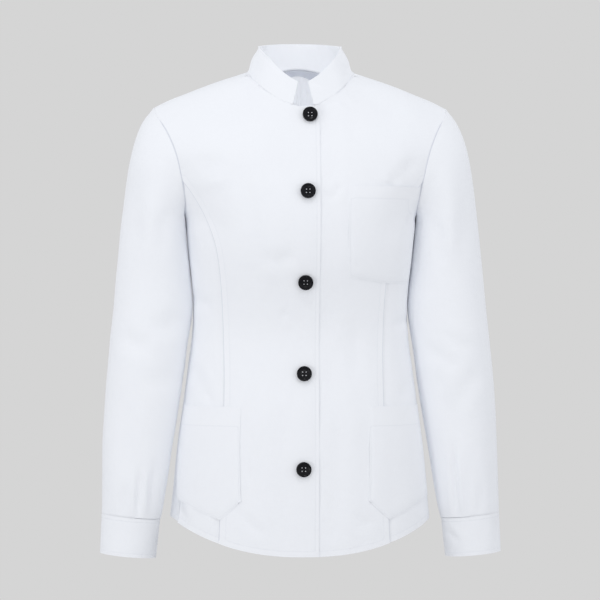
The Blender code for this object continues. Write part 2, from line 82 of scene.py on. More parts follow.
class Shade:
    """One socket of a material, with arithmetic that adds the Math nodes."""

    def __init__(self, tree, socket=None):
        self.tree, self.socket = tree, socket

    def node(self, kind, settings=None, output=0, **inputs):
        made = self.tree.nodes.new(kind)
        for name, value in (settings or {}).items():
            setattr(made, name, value)
        for name, value in inputs.items():
            numbered = name[0] == "i" and name[1:].isdigit()
            socket = made.inputs[int(name[1:]) if numbered else name.replace("_", " ")]
            if isinstance(value, Shade):
                self.tree.links.new(value.socket, socket)
            else:
                socket.default_value = value
        return Shade(self.tree, made.outputs[output])

    def math(self, operation, *values):
        numbered = {f"i{index}": value for index, value in enumerate(values)}
        return self.node("ShaderNodeMath", {"operation": operation}, **numbered)

    def __add__(self, other):
        return self.math("ADD", self, other)

    def __mul__(self, other):
        return self.math("MULTIPLY", self, other)

    def __sub__(self, other):
        return self.math("SUBTRACT", self, other)

    def __rsub__(self, other):
        return self.math("SUBTRACT", other, self)

    __radd__, __rmul__ = __add__, __mul__

    def wave(self, pitch):
        """A sine of a length, from 0 to 1."""
        return self.math("SINE", self * (2 * math.pi / pitch)) * 0.5 + 0.5

    def band(self, start, end):
        """Rises smoothly from 0 at start to 1 at end."""
        smooth = {"interpolation_type": "SMOOTHSTEP"}
        return self.node("ShaderNodeMapRange", smooth, Value=self, From_Min=start, From_Max=end)

    def mix(self, first, second):
        """This value mixes two colours."""
        colours = {"data_type": "RGBA"}
        return self.node("ShaderNodeMix", colours, output=2, Factor=self, i6=first, i7=second)

    def feed(self, socket):
        self.tree.links.new(self.socket, socket)


def new_material(name, roughness):
    made = bpy.data.materials.new(name)
    made.use_nodes = True
    shader = made.node_tree.nodes["Principled BSDF"]
    shader.inputs["Roughness"].default_value = roughness
    return made, shader, Shade(made.node_tree)


def woven(name, white, fold, seam, pitch):
    """Plain-woven cloth: fine threads, slubs, and strips held flat by the stitches along its edges,
    with painted shade in its seams and in the grooves of its stitches.
    """
    made, shader, start = new_material(name, 0.82)
    weave = start.node("ShaderNodeTexCoord", output=2)
    across = start.node("ShaderNodeSeparateXYZ", Vector=weave)
    along = start.node("ShaderNodeSeparateXYZ", output=1, Vector=weave)
    threads = across.wave(pitch) * along.wave(pitch * 1.1)
    solid = start.node("ShaderNodeTexCoord", output=3)
    slub = start.node("ShaderNodeTexNoise", Vector=solid, Scale=900.0, Detail=2.0)
    cloudy = start.node("ShaderNodeTexNoise", Vector=solid, Scale=24.0, Detail=3.0)
    rumple = start.node("ShaderNodeTexNoise", Vector=solid, Scale=75.0, Detail=2.0, Roughness=0.45)
    edge = start.node("ShaderNodeAttribute", {"attribute_name": "edge_mm"}, output=2)
    line = start.node("ShaderNodeAttribute", {"attribute_name": "line_mm"}, output=2)
    held = 1 - line.band(-0.6, 0.5)
    groove = 1 - line.math("ABSOLUTE", line).band(0.3, 1.2)
    shadow = 1 - edge.band(0.2, 1.1)
    colour = cloudy.mix(white, fold)
    colour = (held * 0.7).mix(colour, fold)
    # Painted shade: the seam colour darkens the cloth along its plain seams and in the grooves of its
    # stitches.
    (groove * 0.14 + shadow * 0.85).mix(colour, seam).feed(shader.inputs["Base Color"])
    (0.76 + slub * 0.1 + threads * 0.04 - held * 0.03).feed(shader.inputs["Roughness"])
    height = threads * 0.05 + slub * 0.03 + rumple * 0.7 + held * 0.12 - groove * 0.06
    bump = start.node("ShaderNodeBump", Strength=0.8, Distance=1.0 * MM, Height=height)
    bump.feed(shader.inputs["Normal"])
    shader.inputs["Sheen Weight"].default_value = 0.3
    shader.inputs["Sheen Roughness"].default_value = 0.5
    shader.inputs["Specular IOR Level"].default_value = 0.3
    return made


cotton = woven("white_poplin", COTTON_WHITE, COTTON_FOLD, COTTON_SEAM_SHADE, THREAD_PITCH)

# Every cloth piece is made as the back is: the outer face of its solid is lifted off, made smooth,
# creased and stitched, then its seam allowances are tucked in and it gets the cloth's thickness.
CORNER_TURN = 32      # degrees by which a free edge turns at a corner that stays sharp
WALL_TURN = 52        # the outer face turns by less from facet to facet, and by more at its rim
FOLD_TURN = 50        # degrees above which an edge of the finished cloth is crisp
CREASE_TAPER = 0.35      # the share of a crease's length over which each of its ends dies out
RIDGE_HEIGHT, RIDGE_PLACE = 0.35, 2.1      # beside a crease, as shares of its depth and its width
WAVES, WAVE_SHORTEST, WAVE_LONGEST, WAVE_MARGIN = 7, 45, 130, 18


def points_of(sheet):
    """A sheet's points and normals, in millimetres."""
    points = np.empty(len(sheet.data.vertices) * 3)
    normals = np.empty(len(points))
    sheet.data.vertices.foreach_get("co", points)
    sheet.data.vertices.foreach_get("normal", normals)
    return points.reshape(-1, 3) / MM, normals.reshape(-1, 3)


def face_tree(sheet):
    """The sheet's faces as they are now, to look up the nearest point in."""
    points = [vert.co.copy() for vert in sheet.data.vertices]
    return BVHTree.FromPolygons(points, [face.vertices[:] for face in sheet.data.polygons])


def place(sheet, points):
    """Moves a sheet's points, given in millimetres."""
    sheet.data.vertices.foreach_set("co", (points * MM).ravel())
    sheet.data.update()


def lift_cloth(name, node, way, levels=3):
    """A smooth sheet on the side of a CAD wall that lies furthest along way."""
    bpy.ops.object.select_all(action="DESELECT")
    sheet = bpy.data.objects.new(name, frame["nodes"][node].data.copy())
    bpy.context.scene.collection.objects.link(sheet)
    sheet.data.materials.clear()
    bpy.context.view_layer.objects.active = sheet
    sheet.select_set(True)
    bpy.ops.object.mode_set(mode="EDIT")
    bpy.ops.mesh.select_mode(type="FACE")      # or the wall's edge faces would stay, and curl under
    bpy.ops.mesh.select_all(action="SELECT")
    bpy.ops.mesh.remove_doubles(threshold=0.00001)
    bpy.ops.mesh.select_all(action="DESELECT")
    shape = bmesh.from_edit_mesh(sheet.data)
    way = Vector(way).normalized()
    facing = [face for face in shape.faces if face.normal.dot(way) > 0.7]
    max(facing, key=lambda face: face.calc_center_median().dot(way)).select = True
    bmesh.update_edit_mesh(sheet.data)
    bpy.ops.mesh.faces_select_linked_flat(sharpness=math.radians(WALL_TURN))
    bpy.ops.mesh.select_all(action="INVERT")
    bpy.ops.mesh.delete(type="FACE")
    bpy.ops.mesh.select_all(action="SELECT")
    bpy.ops.mesh.tris_convert_to_quads(face_threshold=math.pi, shape_threshold=math.pi)
    shape = bmesh.from_edit_mesh(sheet.data)
    pinned = shape.verts.layers.float.new("crease_vert")
    for vert in shape.verts:
        ways = [edge.other_vert(vert).co - vert.co for edge in vert.link_edges if edge.is_boundary]
        vert[pinned] = len(ways) == 2 and ways[0].angle(ways[1]) < math.radians(180 - CORNER_TURN)
    bmesh.update_edit_mesh(sheet.data)
    bpy.ops.object.mode_set(mode="OBJECT")
    smooth = sheet.modifiers.new("smooth", "SUBSURF")
    smooth.levels = smooth.render_levels = levels
    smooth.boundary_smooth = "PRESERVE_CORNERS"
    # Smoothing draws a sheet in, so its cage is let out until the sheet lies on the solid's points.
    solid_points, _ = points_of(sheet)
    cage = solid_points.copy()
    for _ in range(3):
        drawn_in, _ = points_of(sheet.evaluated_get(bpy.context.evaluated_depsgraph_get()))
        cage += solid_points - drawn_in[: len(cage)]
        place(sheet, cage)
    bpy.ops.object.modifier_apply(modifier=smooth.name)
    return sheet


def ease(t):
    t = np.clip(t, 0, 1)
    return t * t * (3 - 2 * t)


def sink_creases(sheet, creases, seen=None):
    """Presses creases into a sheet. Each is (width, depth, points along it), in the plane of x and z.

    A positive depth is a soft trough with a low ridge on each side, and a negative one a ridge. seen
    picks the points that are reached, so that the far side of a tube keeps its own creases.
    """
    points, normals = points_of(sheet)
    reached = np.ones(len(points), bool) if seen is None else seen(points)
    moved = np.zeros(len(points))
    flat = points[:, (0, 2)]
    for width, depth, line in creases:
        line = np.array(line, float)
        spans = np.linalg.norm(np.diff(line, axis=0), axis=1)
        starts = np.concatenate(([0], np.cumsum(spans)))
        near, along = np.full(len(points), 1e9), np.zeros(len(points))
        for first, last, start, span in zip(line, line[1:], starts, spans):
            share = np.clip(((flat - first) @ (last - first)) / span**2, 0, 1)
            gap = np.linalg.norm(flat - first - share[:, None] * (last - first), axis=1)
            along = np.where(gap < near, (start + share * span) / starts[-1], along)
            near = np.minimum(near, gap)
        taper = ease(along / CREASE_TAPER) * ease((1 - along) / CREASE_TAPER)
        ridge = RIDGE_HEIGHT * np.exp(-((near - RIDGE_PLACE * width) / width) ** 2)
        moved -= depth * (np.exp(-(near / width) ** 2) - ridge) * taper
    place(sheet, points + normals * (moved * reached)[:, None])


def rim_chains(sheet):
    """The sheet's free edges, as chains of points that follow each other, in millimetres."""
    shape = bmesh.new()
    shape.from_mesh(sheet.data)
    left = {edge.index: edge for edge in shape.edges if edge.is_boundary}
    chains = []
    while left:
        _, first = left.popitem()
        chain = [first.verts[0], first.verts[1]]
        while True:
            onward = [edge for edge in chain[-1].link_edges if edge.index in left]
            if not onward:
                break
            del left[onward[0].index]
            chain.append(onward[0].other_vert(chain[-1]))
        chains.append(np.array([vert.co[:] for vert in chain]) / MM)
    shape.free()
    return chains


def edge_gap(sheet, points, keep=None):
    """How far each point lies from the free edges that keep picks, in millimetres."""
    chains = rim_chains(sheet)
    rims = np.concatenate([np.concatenate((chain, (chain[1:] + chain[:-1]) / 2)) for chain in chains])
    if keep is not None:
        rims = rims[keep(rims)]
    tree = KDTree(len(rims))
    for index, point in enumerate(rims):
        tree.insert(point, index)
    tree.balance()
    return np.array([tree.find(point)[2] for point in points])


def unevenness(sheet, height, seed):
    """Low waves that keep a worn cloth from being perfectly smooth; they die out at its edges."""
    points, normals = points_of(sheet)
    rng = np.random.default_rng(seed)
    waves = np.zeros(len(points))
    for _ in range(WAVES):
        way = rng.normal(size=3) * (1, 1, 0.45)
        length = rng.uniform(WAVE_SHORTEST, WAVE_LONGEST)
        waves += np.sin(points @ (way / np.linalg.norm(way)) * 2 * np.pi / length + rng.uniform(0, 6.3))
    within = ease(edge_gap(sheet, points) / WAVE_MARGIN)
    place(sheet, points + normals * (waves / WAVES * height * within)[:, None])


def press_edges(sheet, depth, reach, keep):
    """Sinks the edges that keep picks, as pressing and stitching do."""
    points, normals = points_of(sheet)
    near = ease(1 - edge_gap(sheet, points, keep) / reach)
    place(sheet, points - normals * (depth * near)[:, None])


def mark_strips(sheet, strips):
    """Stores how far the cloth is from its seams, and from the lines of stitches along its edges.

    strips is a list of (width, keep): keep picks the part of the free edges that has a strip that
    wide, stitched along its inner side, or a plain seam where the width is 0, whose fine dark line is
    painted shade. The distance from the stitches is negative within a strip.
    """
    points, _ = points_of(sheet)
    edge, line = np.full(len(points), 60.0), np.full(len(points), 60.0)
    # The painted shade of an armhole's seam fades out towards its top.
    fade = np.clip((points[:, 2] - ARMHOLE_TOP + SEAM_FADE) / SEAM_FADE, 0, 1)
    for width, keep in strips:
        gap = edge_gap(sheet, points, keep)
        if width:
            line = np.minimum(line, gap - width)
        else:
            edge = np.minimum(edge, gap + fade)
    for name, values in (("edge_mm", edge), ("line_mm", line)):
        sheet.data.attributes.new(name, "FLOAT", "POINT").data.foreach_set("value", values)


STITCH_LENGTH, STITCH_PITCH, STITCH_RADIUS = 2.2, 2.8, 0.19
STITCH_MISS = 0.4      # a stitch this share of its inset off its line, as round a corner, is left out
THREAD_WHITE = (0.93, 0.94, 0.96, 1)
thread, thread_shader, ply = new_material("white_thread", 0.55)
solid = ply.node("ShaderNodeTexCoord", output=3)
twist = ply.node("ShaderNodeTexNoise", Vector=solid, Scale=2200.0, Detail=1.0)
twist.mix(THREAD_WHITE, COTTON_FOLD).feed(thread_shader.inputs["Base Color"])
plies = twist.node("ShaderNodeBump", Strength=0.5, Distance=0.1 * MM, Height=twist)
plies.feed(thread_shader.inputs["Normal"])
thread_shader.inputs["Sheen Weight"].default_value = 0.2


def make_stitches(name, places):
    """Joined stitches, each a short six-sided bead that sinks into the cloth at its ends."""
    half, radius = STITCH_LENGTH / 2 * MM, STITCH_RADIUS * MM
    corners, faces = [], []
    profile = ((-1, -0.9, 0.15), (-0.55, 0.25, 1), (0.55, 0.25, 1), (1, -0.9, 0.15))
    for spot, normal, tangent in places:
        side = normal.cross(tangent).normalized()
        base = len(corners)
        for along, lift, size in profile:
            for turn in range(6):
                angle = turn * math.pi / 3
                upwards = normal * radius * (lift + size * math.sin(angle) * 0.8)
                sideways = side * radius * size * math.cos(angle)
                corners.append(spot + tangent * along * half + upwards + sideways)
        for ring in range(3):
            for turn in range(6):
                a, b = base + ring * 6 + turn, base + ring * 6 + (turn + 1) % 6
                faces.append((a, b, b + 6, a + 6))
        faces.append(tuple(base + turn for turn in range(5, -1, -1)))
        faces.append(tuple(base + 18 + turn for turn in range(6)))
    mesh = bpy.data.meshes.new(name)
    mesh.from_pydata([corner[:] for corner in corners], [], faces)
    mesh.materials.append(thread)
    mesh.shade_smooth()
    shape = bmesh.new()
    shape.from_mesh(mesh)
    bmesh.ops.recalc_face_normals(shape, faces=shape.faces)
    shape.to_mesh(mesh)
    shape.free()
    made = bpy.data.objects.new(name, mesh)
    bpy.context.scene.collection.objects.link(made)
    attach(made, "root")
    return made


def stitch_strips(name, sheet, strips):
    """Lockstitches along the stitched strips of a sheet's free edges."""
    tree = face_tree(sheet)
    places = []
    for inset, keep in strips:
        for chain in rim_chains(sheet) if inset else ():
            kept = keep(chain)
            breaks = np.flatnonzero(np.diff(kept.astype(int))) + 1
            for run in np.split(np.arange(len(chain)), breaks):
                if len(run) < 4 or not kept[run[0]]:
                    continue
                run = chain[run]
                steps = np.concatenate(([0], np.cumsum(np.linalg.norm(np.diff(run, axis=0), axis=1))))
                at = np.arange(inset, steps[-1] - inset, STITCH_PITCH)
                on_edge = np.stack([np.interp(at, steps, run[:, axis]) for axis in range(3)], axis=1)
                ahead = np.stack([np.interp(at + 1, steps, run[:, axis]) for axis in range(3)], axis=1)
                for point, onward in zip(on_edge, ahead):
                    found, normal, _, _ = tree.find_nearest(Vector(point * MM))
                    tangent = Vector(onward - point).normalized()
                    inward = normal.cross(tangent).normalized() * inset * MM
                    ways = inward, -inward
                    tries = [tree.find_nearest(found + way) for way in ways]
                    misses = [(hit[0] - found - way).length for hit, way in zip(tries, ways)]
                    spot, normal, _, _ = tries[int(misses[1] < misses[0])]
                    if min(misses) < STITCH_MISS * inset * MM:
                        places.append((spot, normal, tangent))
    return make_stitches(name, places)


def hem_edge(points):
    """The part of the free edges that is the curved hem."""
    turned = np.clip(np.abs(points[:, 0]) / SIDE_OUT, 0, 1) ** 1.15
    return points[:, 2] < HEM_BELOW + HEM_RISE * turned**2


def seam_edge(points):
    """Where a piece is seamed to the next one and the seam shows, unlike at shoulders and neck."""
    return ~hem_edge(points) & (points[:, 2] < ARMHOLE_TOP)


def middles_of(edges):
    """The middles of edges, in millimetres."""
    return np.array([((edge.verts[0].co + edge.verts[1].co) / 2)[:] for edge in edges]) / MM


def tuck_edge(sheet, neighbours):
    """Closes the gap to the neighbouring cloth wherever the two edges meet.

    Where the seam shows, its allowance is turned in under the neighbour as well.
    """
    shape = bmesh.new()
    shape.from_mesh(sheet.data)
    shape.normal_update()

    def nearest(point):
        return min((tree.find_nearest(point) for tree in neighbours), key=lambda hit: hit[3])

    met = {vert for vert in shape.verts if vert.is_boundary and nearest(vert.co)[3] < SEAM_REACH * MM}
    rim = [edge for edge in shape.edges if edge.is_boundary and set(edge.verts) <= met]
    rim = [edge for edge, kept in zip(rim, ~hem_edge(middles_of(rim))) if kept]
    starts = {}
    for vert in {vert for edge in rim for vert in edge.verts}:
        ends = [edge.other_vert(vert).co for edge in vert.link_edges if edge.is_boundary]
        within = [edge.other_vert(vert).co for edge in vert.link_edges if not edge.is_boundary] or ends
        way = vert.normal.cross(ends[1] - ends[0]).normalized()
        inside = sum(within, Vector()) / len(within)
        starts[vert] = vert.co.copy(), way if way.dot(vert.co - inside) > 0 else -way
    for reach in (0, 0.5 * MM, SEAM_ALLOWANCE * MM):
        made = bmesh.ops.extrude_edge_only(shape, edges=rim)["geom"]
        rim = [part for part in made if isinstance(part, bmesh.types.BMEdge)]
        carried = {}
        for vert in (part for part in made if isinstance(part, bmesh.types.BMVert)):
            others = (edge.other_vert(vert) for edge in vert.link_edges)
            start, way = carried[vert] = next(starts[other] for other in others if other in starts)
            hit, normal, _, _ = nearest(start + way * reach)
            # The first row fills most of the gap between the two edges, and the others lie below.
            vert.co = hit - normal * TUCK_DEPTH * MM if reach else start.lerp(hit, SEAM_FILL)
        starts = carried
        rim = [edge for edge, shown in zip(rim, seam_edge(middles_of(rim))) if shown]
        if not rim:
            break
    shape.to_mesh(sheet.data)
    shape.free()


def lay_weave(sheet, middle, radius, front):
    """A UV map in metres, round an upright axis and down it, so that the threads follow the cloth."""
    points, _ = points_of(sheet)
    middle_x = middle[0](points[:, 2]) if callable(middle[0]) else middle[0]
    turn = np.arctan2(points[:, 0] - middle_x, front * (points[:, 1] - middle[1]))
    layer = sheet.data.uv_layers.new(name="weave")
    corners = np.empty(len(sheet.data.loops), int)
    sheet.data.loops.foreach_get("vertex_index", corners)
    faces = sheet.data.polygons
    starts = np.repeat([face.loop_start for face in faces], [face.loop_total for face in faces])
    around = turn[corners]
    around = around - 2 * np.pi * np.round((around - around[starts]) / (2 * np.pi))
    layer.data.foreach_set("uv", (np.stack((around * radius, points[corners, 2]), axis=1) * MM).ravel())


outer_faces = {}      # of the pieces sewn so far, for those that are tucked under them or lean on them


def sew(sheet, node, strips, under=(), middle=(0, 0), radius=150, front=-1, material=cotton,
        thickness=CLOTH_THICKNESS):
    """Finishes a sheet in its solid's place, and gives its stitches, if it has any.

    strips are as in mark_strips, and under names the sheets that its seam allowances go under.
    """
    mark_strips(sheet, strips)
    outer_faces[sheet.name] = face_tree(sheet)
    stitches = []
    if any(width for width, _ in strips):
        stitches = [stitch_strips(f"{node}_stitches", sheet, strips)]
    if under:
        tuck_edge(sheet, [outer_faces[name] for name in under])
    lay_weave(sheet, middle, radius, front)
    sheet.data.shade_smooth()
    sheet.data.materials.append(material)
    bpy.context.view_layer.objects.active = sheet
    wall = sheet.modifiers.new("thickness", "SOLIDIFY")
    wall.thickness = thickness * MM
    wall.offset = -1
    bpy.ops.object.modifier_apply(modifier=wall.name)
    sheet.data.set_sharp_from_angle(angle=math.radians(FOLD_TURN))
    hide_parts(node)
    "grey_tape" if node == "neck_label" else "white_cotton"
    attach(sheet, "root")
    return stitches


back = lift_cloth("back_cloth", "back", (0, 1, 0))
unevenness(back, 1.1, 11)
sink_creases(back, (
    # soft gathers under the collar seam, and the drag lines that a worn back has
    (2.4, 1.9, ((-7, 5), (-8, -20), (-9, -90))),
    (2.2, 2.2, ((0.5, 5), (0, -24), (1, -110))),
    (2.6, 1.7, ((8, 5), (9, -22), (9, -84))),
    (9, 2.4, ((-165, -120), (-128, -150), (-84, -162))),
    (7, 1.8, ((-160, -160), (-120, -205), (-70, -232))),
    (9, 2.1, ((168, -118), (130, -140), (92, -164))),
    (8, 1.7, ((158, -172), (118, -214), (60, -236))),
    (12, 2.4, ((-128, -330), (-60, -352), (12, -340))),
    (10, 1.9, ((118, -352), (60, -372), (-8, -366))),
    (13, 2.0, ((-60, -400), (-66, -520), (-58, -650))),
    (12, 1.8, ((72, -400), (80, -500), (74, -640))),
), lambda p: p[:, 1] > 20)
stitches = sew(back, "back", [(HEM_WIDTH, hem_edge), (0, seam_edge)], radius=160, front=1)

# ---------------------------------------------------------------------------------------------
# Fronts. Two centre fronts of the same poplin, the wearer's right over the left. Each front edge
# is faced and stitched, and the seam allowance of each princess seam is pressed towards the
# centre and held by a row of stitches, which makes a flat, slightly brighter strip.

EDGE_STRIP = 5.0
PRINCESS_STRIP = 9.0
FRONT_LAP, LAP_SPREAD = 19.8, 3.5      # how far each front passes the centre, more or less
EDGE_TOP = -40                         # below this level the front edge is straight


def front_edge(side):
    """The straight edge of the front on that side, which lies past the centre front."""
    return lambda p: (np.abs(p[:, 0] + side * FRONT_LAP) < LAP_SPREAD) & (p[:, 2] < EDGE_TOP)


def princess_edge(p):
    return (np.abs(p[:, 0]) > 100) & (p[:, 2] < -153) & seam_edge(p)


def armhole_edge(p):
    return (np.abs(p[:, 0]) > 150) & seam_edge(p)


def seam_of_two_fronts(p):
    """The princess edge of a side front."""
    return (p[:, 1] < -71) & seam_edge(p)


FRONT_CREASES = {
    -1: (
        (9, 1.3, ((-8, -250), (-36, -262), (-62, -252))),
        (5, 0.8, ((-20, -330), (-34, -337))),
        (10, 1.5, ((-92, -118), (-78, -170), (-74, -224))),
        (12, 1.6, ((-150, -118), (-128, -132), (-102, -128))),
        (14, 1.2, ((-70, -30), (-104, -52), (-136, -60))),
        (10, 1.4, ((-66, -410), (-76, -478), (-72, -600))),
        (12, 1.2, ((-28, -430), (-30, -520), (-24, -650))),
        (6, 0.8, ((-86, -596), (-70, -616), (-50, -628))),
        (12, -1.2, ((-48, -180), (-44, -250), (-50, -320))),
    ),
    1: (
        (5, 1.3, ((28, -184), (40, -172), (50, -154))),
        (6, 1.0, ((24, -56), (33, -49), (52, -40))),
        (4.5, 0.8, ((46, -34), (58, -46), (70, -52))),
        (6, 1.3, ((128, -140), (120, -156), (112, -166))),
        (8, 1.5, ((156, -118), (142, -134), (132, -150))),
        (9, 1.0, ((66, -330), (70, -380), (68, -430))),
        (11, 1.3, ((40, -410), (46, -500), (42, -640))),
        (7, 0.8, ((60, -600), (76, -612), (96, -612))),
        (14, 1.2, ((74, -20), (104, -48), (150, -62))),
    ),
}

for side, word in ((-1, "right"), (1, "left")):
    front = lift_cloth(f"front_{word}_cloth", f"front_{word}", (0, -1, 0))
    unevenness(front, 0.9, 20 + side)
    sink_creases(front, FRONT_CREASES[side])
    press_edges(front, 0.6, 12, front_edge(side))
    stitches = sew(front, f"front_{word}", [
        (HEM_WIDTH, hem_edge), (EDGE_STRIP, front_edge(side)), (PRINCESS_STRIP, princess_edge),
        (0, armhole_edge), (0, princess_edge),
    ], under=["back_cloth"])

# ---------------------------------------------------------------------------------------------
# Side fronts. A narrow panel on each side, from the armhole to the hem, that gives the waist its
# shape. It has no stitches of its own but those of the hem: the princess seam's allowance lies
# under the centre front.

SIDE_CREASES = {
    -1: (
        (5, 1.3, ((-158, -200), (-150, -236), (-146, -280))),
        (7, 1.5, ((-150, -300), (-138, -318), (-122, -322))),
        (5, 1.4, ((-131, -430), (-126, -452))),
        (6, 1.1, ((-152, -400), (-140, -420), (-134, -450))),
        (8, 1.3, ((-160, -470), (-150, -520), (-152, -590))),
        (6, 3.6, ((-164, -556), (-167, -590), (-163, -622))),
    ),
    1: (
        (5, 1.2, ((152, -208), (146, -250), (142, -290))),
        (7, 1.5, ((150, -330), (136, -346), (120, -344))),
        (7, 1.3, ((150, -420), (138, -440), (128, -446))),
        (8, 1.2, ((162, -480), (154, -530), (156, -600))),
    ),
}

for side, word in ((-1, "right"), (1, "left")):
    flank = lift_cloth(f"side_front_{word}_cloth", f"side_front_{word}", (side, -1, 0))
    unevenness(flank, 0.8, 30 + side)
    sink_creases(flank, SIDE_CREASES[side])
    press_edges(flank, 1.3, 14, seam_of_two_fronts)
    strips = [(HEM_WIDTH, hem_edge), (0, seam_edge)]
    stitches = sew(flank, f"side_front_{word}", strips, under=[f"front_{word}_cloth", "back_cloth"])

# ---------------------------------------------------------------------------------------------
# Cuffs. A straight band of two layers with an interlining, sewn to the sleeve's end, edge-stitched
# all round. They are closed, with the overlap on the hidden side.

CUFF_STRIP = 5.0
CUFF_THICKNESS = 1.8
CUFF_OUT, CUFF_DEEP, CUFF_RADIUS = 232.5, -26, 39      # its axis, and its radius about it


def anywhere(p):
    return p[:, 2] > -1000


for side, word in ((-1, "right"), (1, "left")):
    cuff = lift_cloth(f"cuff_{word}_cloth", f"cuff_{word}", (side, 0, 0))
    unevenness(cuff, 0.6, 50 + side)
    if side > 0:
        sink_creases(cuff, (
            (4, 1.3, ((196, -626), (204, -634), (216, -646))),
            (5, 0.9, ((262, -606), (266, -630), (266, -660))),
        ), lambda p: p[:, 1] < -26)
    stitches = sew(
        cuff, f"cuff_{word}", [(CUFF_STRIP, anywhere)], thickness=CUFF_THICKNESS,
        middle=(side * CUFF_OUT, CUFF_DEEP), radius=CUFF_RADIUS,
    )

# ---------------------------------------------------------------------------------------------
# Sleeves. One piece each, set into the armhole, with its seam under the arm. The cloth breaks
# softly at the elbow, and is gathered a little into the cuff.

SLEEVE_MIDDLE = ((-611, 232), (-452, 218), (-248, 202), (-50, 182))      # level, and how far out
SLEEVE_DEEP, SLEEVE_RADIUS = -12, 55
HEAD_ABOVE = -400                                     # the seam edges above this level are its head
LEAN_LOW, LEAN_HIGH, LEAN_REACH = -380, -190, 16      # where a sleeve leans on the body, and how near
LEAN_MOST, LEAN_SHARE = 4, 0.8                        # how far it then moves

SLEEVE_CREASES = {
    -1: {
        "front": (
            (4, 1.5, ((-166, -150), (-160, -178), (-154, -214))),
            (9, 1.6, ((-176, -180), (-190, -214), (-196, -262))),
            (14, 2.2, ((-222, -120), (-228, -190), (-226, -262))),
            (12, -1.5, ((-204, -150), (-208, -220), (-206, -300))),
            (11, 2.4, ((-158, -330), (-186, -350), (-214, -344))),
            (9, 1.9, ((-250, -356), (-226, -374), (-198, -378))),
            (10, 1.7, ((-166, -408), (-190, -424), (-220, -420))),
            (12, 1.7, ((-236, -430), (-240, -500), (-238, -570))),
            (3.6, 3.0, ((-221, -540), (-222, -588), (-221, -612))),
            (5, 1.5, ((-198, -520), (-204, -575), (-203, -612))),
            (6, -1.3, ((-212, -530), (-213, -580), (-212, -612))),
            (5, 1.3, ((-240, -556), (-243, -590), (-243, -612))),
        ),
        "back": (
            (9, 2.2, ((-176, -150), (-196, -200), (-200, -270))),
            (10, 2.5, ((-252, -330), (-222, -352), (-180, -356))),
            (10, 2.2, ((-160, -376), (-192, -396), (-234, -384))),
            (9, 1.9, ((-246, -420), (-220, -444), (-186, -446))),
            (5, 1.8, ((-232, -535), (-234, -580), (-233, -612))),
            (4, 1.5, ((-248, -550), (-250, -590), (-249, -612))),
            (5, 1.5, ((-214, -540), (-215, -585), (-214, -612))),
        ),
    },
    1: {
        "front": (
            (8, 1.7, ((176, -190), (186, -226), (190, -280))),
            (13, 1.9, ((216, -110), (226, -180), (228, -256))),
            (9, -1.4, ((196, -140), (202, -210), (202, -280))),
            (9, 2.1, ((160, -372), (192, -392), (224, -404))),
            (8, 1.9, ((178, -352), (206, -372), (240, -382))),
            (10, 1.7, ((250, -400), (224, -430), (200, -470))),
            (9, 1.4, ((186, -438), (206, -470), (218, -520))),
            (3.4, 3.4, ((204, -500), (207, -560), (211, -618))),
            (5, -1.3, ((214, -520), (217, -570), (220, -612))),
            (10, 1.6, ((258, -460), (264, -540), (264, -612))),
            (5, 1.2, ((240, -560), (242, -592), (241, -612))),
        ),
        "back": (
            (9, 2.1, ((178, -150), (198, -204), (202, -272))),
            (10, 2.4, ((250, -342), (218, -364), (176, -362))),
            (10, 2.2, ((162, -392), (196, -412), (238, -396))),
            (8, 1.9, ((248, -436), (222, -462), (190, -462))),
            (5, 1.7, ((230, -538), (232, -582), (231, -612))),
            (4, 1.5, ((246, -546), (248, -588), (247, -612))),
        ),
    },
}


def lean_on(sheet, names):
    """Lets a hanging sleeve rest lightly against the side of the body, down to the waist."""
    points, _ = points_of(sheet)
    for index, point in enumerate(points):
        if not LEAN_LOW < point[2] < LEAN_HIGH:
            continue
        hits = [outer_faces[name].find_nearest(Vector(point * MM)) for name in names]
        spot, _, _, gap = min(hits, key=lambda hit: hit[3])
        gap /= MM
        if gap < LEAN_REACH:
            share = LEAN_SHARE * ease((point[2] - LEAN_LOW) / 70) * ease((LEAN_HIGH - point[2]) / 30)
            share *= ease((LEAN_REACH - gap) / 12)
            points[index] += (np.array(spot) / MM - point) / max(gap, 0.1) * min(gap, LEAN_MOST) * share
    place(sheet, points)


def sleeve_head(p):
    return seam_edge(p) & (p[:, 2] > HEAD_ABOVE)


def sleeve_middle(side):
    levels, outs = zip(*SLEEVE_MIDDLE)
    return lambda z: side * np.interp(z, levels, outs)


for side, word in ((-1, "right"), (1, "left")):
    sleeve = lift_cloth(f"sleeve_{word}_cloth", f"sleeve_{word}", (side, 0, 0))
    unevenness(sleeve, 1.2, 40 + side)
    sink_creases(sleeve, SLEEVE_CREASES[side]["front"], lambda p: p[:, 1] < -14)
    sink_creases(sleeve, SLEEVE_CREASES[side]["back"], lambda p: p[:, 1] > -14)
    body = ["back_cloth", f"front_{word}_cloth", f"side_front_{word}_cloth"]
    lean_on(sleeve, body)
    sew(
        sleeve, f"sleeve_{word}", [(0, sleeve_head)], under=[*body, f"cuff_{word}_cloth"],
        middle=(sleeve_middle(side), SLEEVE_DEEP), radius=SLEEVE_RADIUS,
    )

# ---------------------------------------------------------------------------------------------
# Collar. A mandarin collar: a band of two layers with an interlining that stands round the neck,
# its front ends spread apart and sloping. Its edge is turned and pressed, with no stitches on show.

COLLAR_THICKNESS, COLLAR_RADIUS = 1.8, 64

collar = lift_cloth("collar_cloth", "collar", (0, 1, 0))
sink_creases(collar, (
    (4.5, 1.0, ((-62, 18), (-61, -6))),
    (4.5, 1.1, ((63, 14), (62, -14))),
    (3.5, 0.8, ((4, -14), (18, -20), (32, -25))),
), lambda p: p[:, 1] < 10)
sew(
    collar, "collar", [], radius=COLLAR_RADIUS, thickness=COLLAR_THICKNESS,
    under=["back_cloth", "front_right_cloth", "front_left_cloth"],
)

